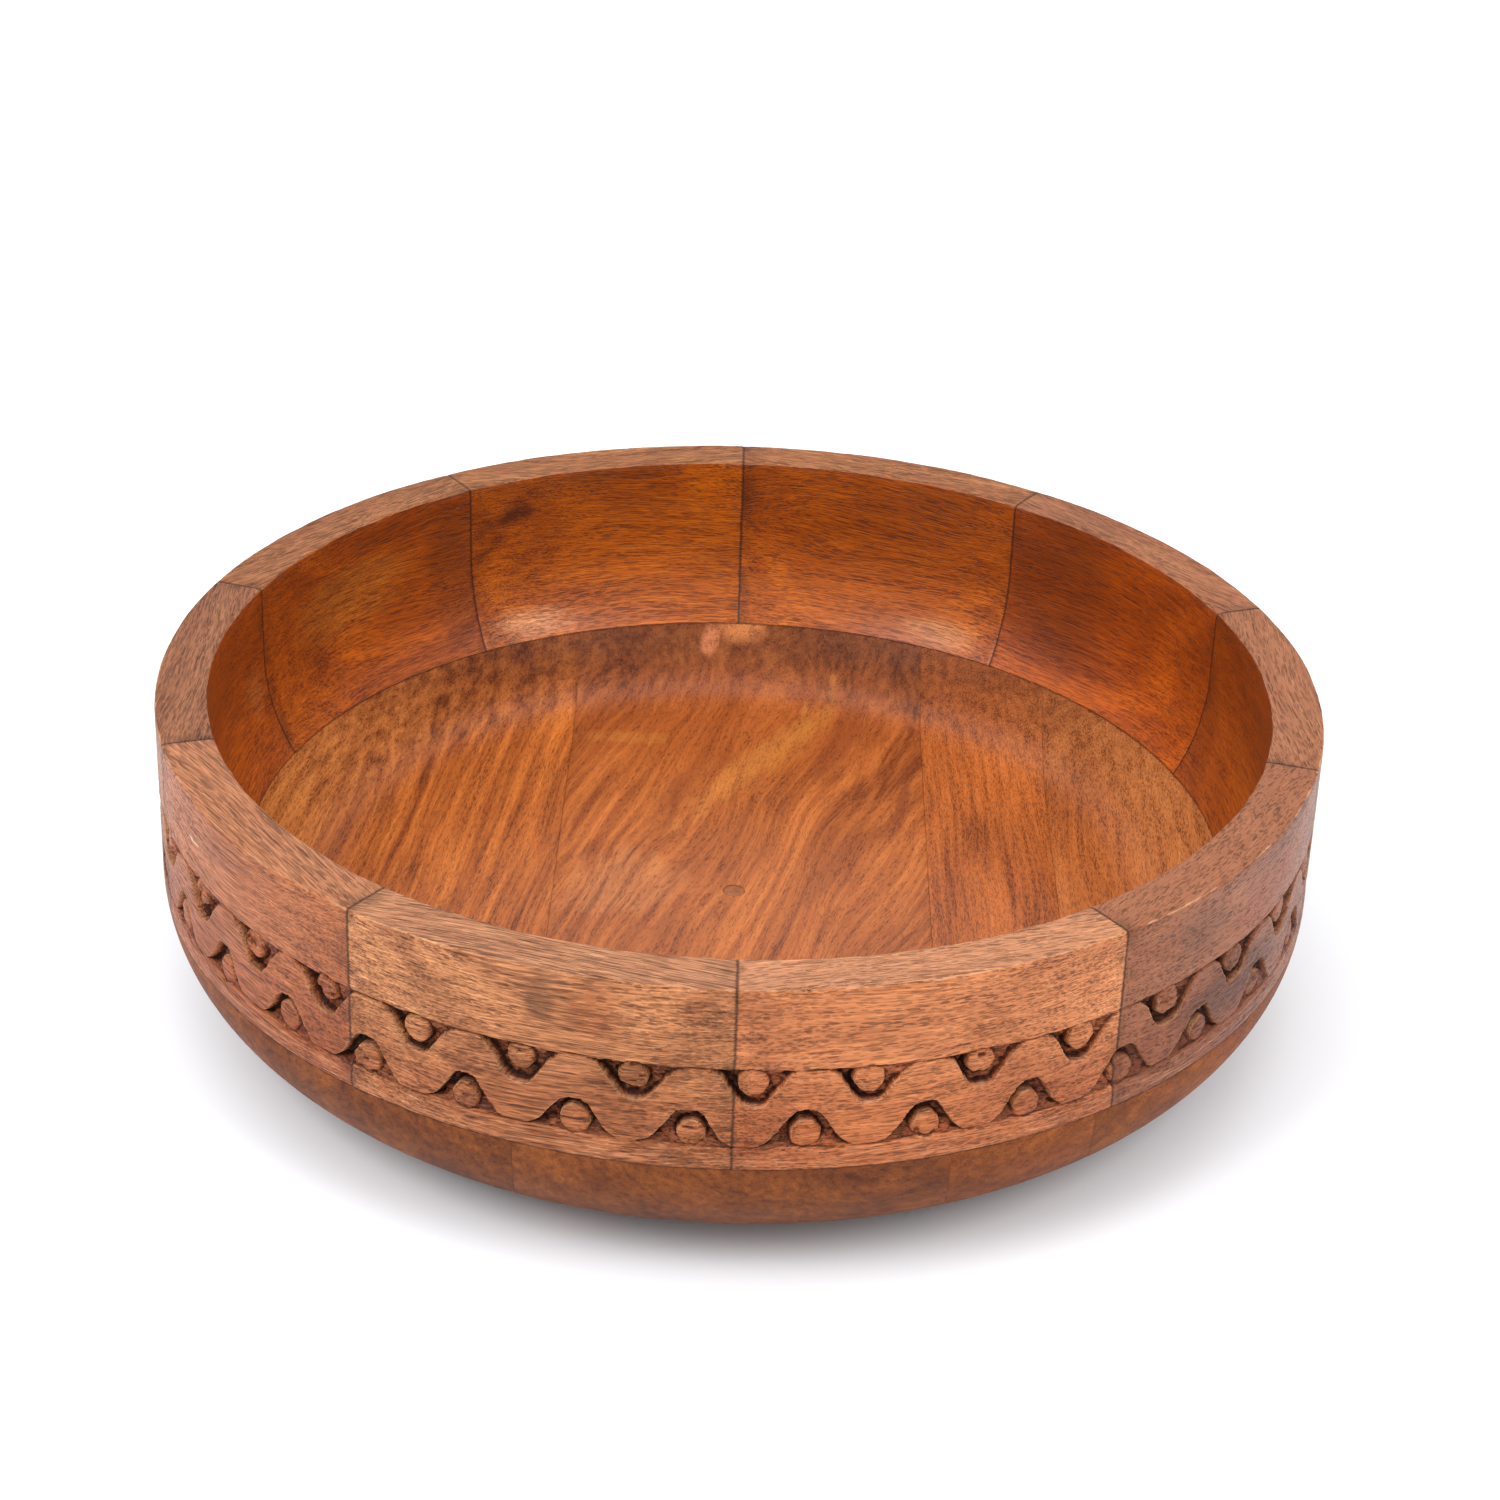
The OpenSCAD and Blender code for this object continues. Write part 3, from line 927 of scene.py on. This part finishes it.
def plank_wood(name, seed, look, seams):
    """The wood of a base plank: oiled on the floor, and dull on the cove and under the bowl."""
    look = SimpleNamespace(**{**LOOK, **look})
    t = Timber(name, seed, 0.0, look.lean, look.swirl)
    n = t.n
    facing_out = n.math("MULTIPLY_ADD", t.x, t.out, n.math("MULTIPLY", t.y, t.end))
    facing_out = n.math("DIVIDE", facing_out, n.math("MAXIMUM", t.radius, 1.0))
    outside = n.math("MAXIMUM", n.span(facing_out, 0.05, 0.3), n.span(t.up, -0.3, -0.7))
    cove = n.span(facing_out, -0.2, -0.75)
    end = n.span(n.math("ABSOLUTE", t.end), 0.35, 0.95)
    colour = grain_colour(t, look)
    below = n.mix(n.span(t.z, 0, GLUE_Z - 4), UNDER_LOW, UNDER_HIGH)
    below = n.mix(1.0, below, (look.under, look.under, look.under), "MULTIPLY")
    colour = shade(n, outside, colour, below)
    clouds = n.span(t.cloud(13.0, 61), 0.36, 0.64)
    colour = shade(n, n.math("MULTIPLY", outside, clouds), colour, CLOUDED)
    aside = n.math("DIVIDE", n.math("ABSOLUTE", t.x), n.math("MAXIMUM", t.radius, 1.0))
    # Painted sheen on the cove at the sides; the darker rear and front are the wood's end grain
    cove_stain_and_sheen = n.mix(n.span(aside, 0.55, 0.95), COVE_STAIN, COVE_SHEEN_ASIDE)
    colour = shade(n, cove, colour, cove_stain_and_sheen)
    faded = n.mix(0.5, n.mix(1.0, colour, (0.7, 0.7, 0.7), "MULTIPLY"), END_GRAIN)
    colour = n.mix(n.math("MULTIPLY", end, 0.55), colour, faded)
    colour = fibred(t, marked(t, colour, look.marks), look.fibre)
    colour, pores = pored(t, look, colour)
    to_joint = 1000.0
    for seam in seams:
        to_joint = n.math("MINIMUM", to_joint, n.math("ABSOLUTE", n.math("SUBTRACT", t.x, seam)))
    colour = glued(t, colour, to_joint, 0.12, 0.08)
    relief = n.math("MULTIPLY_ADD", pores, -1.0, n.math("MULTIPLY", t.fibres, 1.5 * look.fibre))
    dull = n.math("MAXIMUM", n.math("MAXIMUM", pores, end), outside)
    oiled = n.math("MULTIPLY", n.span(n.math("MAXIMUM", outside, cove), 0, 1, 1, 0.05), 0.68)
    return finish_wood(t, look, colour, dull, relief, PLANK_RELIEF, oiled, PLANK_SPECULAR)


def filler():
    """The dull brown filler in the turning hole."""
    t = Timber("filler", 91)
    n = t.n
    cloud = t.cloud(2.0, 0, 4.0, 0.65)
    tones = [(0.3, linear("7c4424")), (0.5, linear("8c5230")), (0.72, linear("9c603a"))]
    colour = n.ramp(cloud, tones)
    rim = n.span(t.radius, PLUG_R - 0.5, PLUG_R - 0.05)
    colour = n.mix(n.math("MULTIPLY", rim, 0.12), colour, GRAIN_DARK)
    grit = t.cloud(0.33, 3, 2.0)
    bump = n.add("ShaderNodeBump", {"Strength": 0.7, "Distance": 0.0002, "Height": grit})
    rough = n.math("MULTIPLY_ADD", cloud, 0.2, 0.4)
    inputs = {"Base Color": colour, "Roughness": rough, "Normal": bump, "Specular IOR Level": 0.3}
    n.add("ShaderNodeOutputMaterial", {"Surface": n.add("ShaderNodeBsdfPrincipled", inputs)})
    return n.material


def blob(colour, strength, centre, size, turn=0.0, ragged=0.35):
    return colour, strength, {"centre": centre, "size": size, "turn": turn, "ragged": ragged}


# Each piece's own wood, with painted light in some rim colours and marks.
# Places of marks are in the piece's frame, as in Timber.
WOODS = {
    "rim_stave_1": dict(
        tint="bd7448", contrast=0.85, pores=0.7, pore_size=(0.28, 3), lean=0.06, rim="af7b5b",
    ),
    "rim_stave_2": dict(
        tint="905638", contrast=0.7, pores=0.5, fibre=0.6, pore_size=(0.28, 2), polish=0.38,
        marks=[
            blob("8c4526", 0.5, (150, 12, 70), (12, 24, 10)),
            blob("4a2412", 0.65, (150, -6, 54), (12, 26, 10)),
            blob("5e3a26", 0.4, (150, -22, 76), (12, 12, 9)),
        ],
    ),
    "rim_stave_3": dict(tint="9a6240", contrast=0.7, pores=0.6, fibre=0.8, inner=0.98),
    "rim_stave_4": dict(
        tint="a86a42", contrast=0.9, pores=0.7, lean=-0.1, inner=1.08,
        marks=[blob("4e220c", 0.55, (140, 26, 66), (30, 24, 36))],
    ),
    "rim_stave_5": dict(
        tint="bd8150", contrast=1.0, pores=1.0, pore_size=(0.38, 4), swirl=9, inner=0.8, rim="8a5030",
        marks=[
            blob("421a08", 0.65, (137, 42, 76), (12, 7, 18)),
            # A painted sheen low on the inner wall
            blob("d0935e", 0.45, (134, -24, 42), (10, 18, 5)),
            blob("6b3413", 0.4, (137, -16, 80), (10, 14, 5)),
        ],
    ),
    "rim_stave_6": dict(
        tint="c08654", contrast=0.9, lean=0.1, swirl=9, inner=0.87, rim="8a5030",
        marks=[
            blob("361406", 0.85, (137, 27, 75), (14, 7, 4.5), ragged=0.6),
            blob("6b3413", 0.4, (137, 12, 82), (10, 26, 4)),
            # A painted sheen low on the inner wall
            blob("dca67c", 0.55, (134, 27, 41), (10, 20, 6)),
        ],
    ),
    "rim_stave_7": dict(
        tint="aa7045", contrast=0.9, lean=0.16, swirl=9, inner=1.0, rim="8a5435",
        marks=[
            blob("54260f", 0.5, (137, -36, 62), (20, 9, 34)),
            blob("b8742a", 0.4, (137, 2, 66), (20, 26, 12)),
        ],
    ),
    "rim_stave_8": dict(
        tint="a26844", contrast=0.8, pores=0.8, inner=1.08, rim="7a4c36",
        marks=[blob("b0703a", 0.4, (137, -36, 58), (10, 9, 10))],
    ),
    "rim_stave_9": dict(
        tint="a6603a", contrast=0.8, pore_size=(0.28, 7), streaks=0.7, rim="a36e4e",
        marks=[blob("f0dfb4", 0.9, (150, -18.4, 74.3), (3, 4.5, 0.45), ragged=0.1)],
    ),
    "rim_stave_10": dict(
        tint="b07148", contrast=1.0, pore_size=(0.3, 8), lean=-0.05, rim="a97556", fibre=1.5,
        marks=[
            blob("4c2e1c", 0.6, (151, 3, 79), (6, 4, 7)),
            blob("a3592f", 0.5, (151, 16, 76), (6, 7, 8)),
            blob("8a5430", 0.4, (151, -30, 72), (6, 14, 9)),
        ],
    ),
    "base_plank_left": dict(
        tint="a35722", contrast=1.35, lean=0.12, streaks=1.0, pores=0.5, pore_size=(0.24, 2.2),
        fibre=0.4, pitch=5, polish=0.32, under=0.85,
    ),
    "base_plank_middle": dict(
        tint="9e5525", contrast=1.4, lean=0.3, streaks=0.9, mottle=0.45, swirl=12, pores=0.35, fibre=0.3,
        pore_size=(0.22, 1.8), pitch=9, polish=0.3,
        marks=[
            blob("8a3d12", 0.4, (0, 92, 22), (56, 34, 14)),
            blob("c8843e", 0.34, (5, 72, 22), (6, 44, 14), -30, ragged=0.9),
            blob("b8742f", 0.3, (16, 86, 22), (5, 34, 14), -24, ragged=0.9),
            blob("c07c34", 0.3, (-34, 84, 22), (14, 4, 14), ragged=0.9),
            blob("6a2f15", 0.55, (46, 48, 22), (1.8, 18, 14), -8, ragged=0.5),
            blob("78381a", 0.45, (30, 88, 22), (6, 34, 14), -14, ragged=0.5),
            blob("7a3a1b", 0.45, (-12, 62, 22), (6, 26, 14), -26, ragged=0.5),
            # A painted highlight on the floor
            blob("cc8450", 0.35, (-30, 2, 22), (16, 22, 14), -20, ragged=0.7),
            blob("74381c", 0.4, (26, 14, 22), (4, 26, 14), -18, ragged=0.5),
            blob("c27750", 0.9, (-10, 125, 33.5), (3.0, 6, 6), -20, ragged=0.1),
            blob("c47a48", 0.9, (-0.6, 128.4, 37.5), (8.5, 6.5, 6.5), ragged=0.15),
        ],
    ),
    "base_plank_narrow": dict(
        tint="b05e28", contrast=0.95, streaks=0.7, pores=0.8, pore_size=(0.22, 1.8),
        fibre=0.45, polish=0.32,
    ),
    "base_plank_right": dict(
        tint="a65a27", contrast=0.95, streaks=0.6, pores=0.8, pore_size=(0.26, 2.2),
        fibre=0.45, polish=0.32,
        marks=[blob("efe2cf", 0.9, (101.5, 38.3, 21.6), (0.7, 1.1, 1), ragged=0.1)],
    ),
}


# ---------------------------------------------------------------- floor, lights and camera

LENS = 82
SENSOR = 36
CAMERA_PITCH = 28.59
CAMERA_ROLL = 2.03
# The camera's place, counted from the centre of the rim
CAMERA_OFFSET = (3.0, -786.2, 407.1)


def make_camera():
    data = bpy.data.cameras.new("camera")
    data.lens, data.sensor_width = LENS, SENSOR
    data.clip_start, data.clip_end = 0.05, 20
    camera = bpy.data.objects.new("camera", data)
    bpy.context.scene.collection.objects.link(camera)
    place = Vector(CAMERA_OFFSET) + Vector((0, 0, RIM_Z))
    pitch = Matrix.Rotation(math.radians(90 - CAMERA_PITCH), 4, "X")
    roll = Matrix.Rotation(math.radians(CAMERA_ROLL), 4, "Z")
    camera.matrix_world = Matrix.Translation(place * MM) @ pitch @ roll
    bpy.context.scene.camera = camera


def make_light(name, place, size, power, aim=(0, 0, 0.05)):
    data = bpy.data.lights.new(name, "AREA")
    data.shape = "RECTANGLE"
    data.size, data.size_y = size
    data.energy = power
    light = bpy.data.objects.new(name, data)
    light.location = place
    light.rotation_euler = (Vector(aim) - Vector(place)).to_track_quat("-Z", "Y").to_euler()
    bpy.context.scene.collection.objects.link(light)


def make_floor():
    half = 4000
    corners = [(-half, -half, 0), (half, -half, 0), (half, half, 0), (-half, half, 0)]
    floor = make_piece("studio_floor", corners, [(0, 1, 2, 3)])
    n = Nodes("studio_floor")
    shade = n.add("ShaderNodeBsdfPrincipled", {"Base Color": (0.92, 0.95, 0.985, 1), "Roughness": 0.8})
    n.add("ShaderNodeOutputMaterial", {"Surface": shade})
    floor.data.materials.append(n.material)


def make_world():
    world = bpy.data.worlds.new("studio")
    world.use_nodes = True
    background = world.node_tree.nodes["Background"]
    background.inputs["Color"].default_value = (1, 1, 1, 1)
    background.inputs["Strength"].default_value = 0.85
    bpy.context.scene.world = world
    bpy.context.scene.view_settings.view_transform = "Standard"


# ---------------------------------------------------------------- the bowl


def place(piece, node, material):
    piece.data.materials.append(material)
    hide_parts(node)
    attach(piece, "root")


make_camera()
make_floor()
make_world()
make_light("softbox_left", (-0.75, -0.65, 0.95), (0.6, 0.6), 8)
make_light("softbox_right", (0.75, -0.65, 0.95), (0.6, 0.6), 5.5)
make_light("softbox_top", (-0.1, 0.0, 1.3), (1.6, 1.6), 9)

for i, node in enumerate(STAVES):
    stave, middle, half_span = make_stave(node)
    place(stave, node, stave_wood("wood_" + node, i + 1, WOODS[node], middle, half_span))
for i, node in enumerate(PLANKS):
    ends = [end.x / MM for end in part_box(node)]
    seams = [x for x in ends if abs(x) < FLOOR_R]
    place(make_plank(node), node, plank_wood("wood_" + node, i + 21, WOODS[node], seams))
place(make_plug(), PLUG, filler())
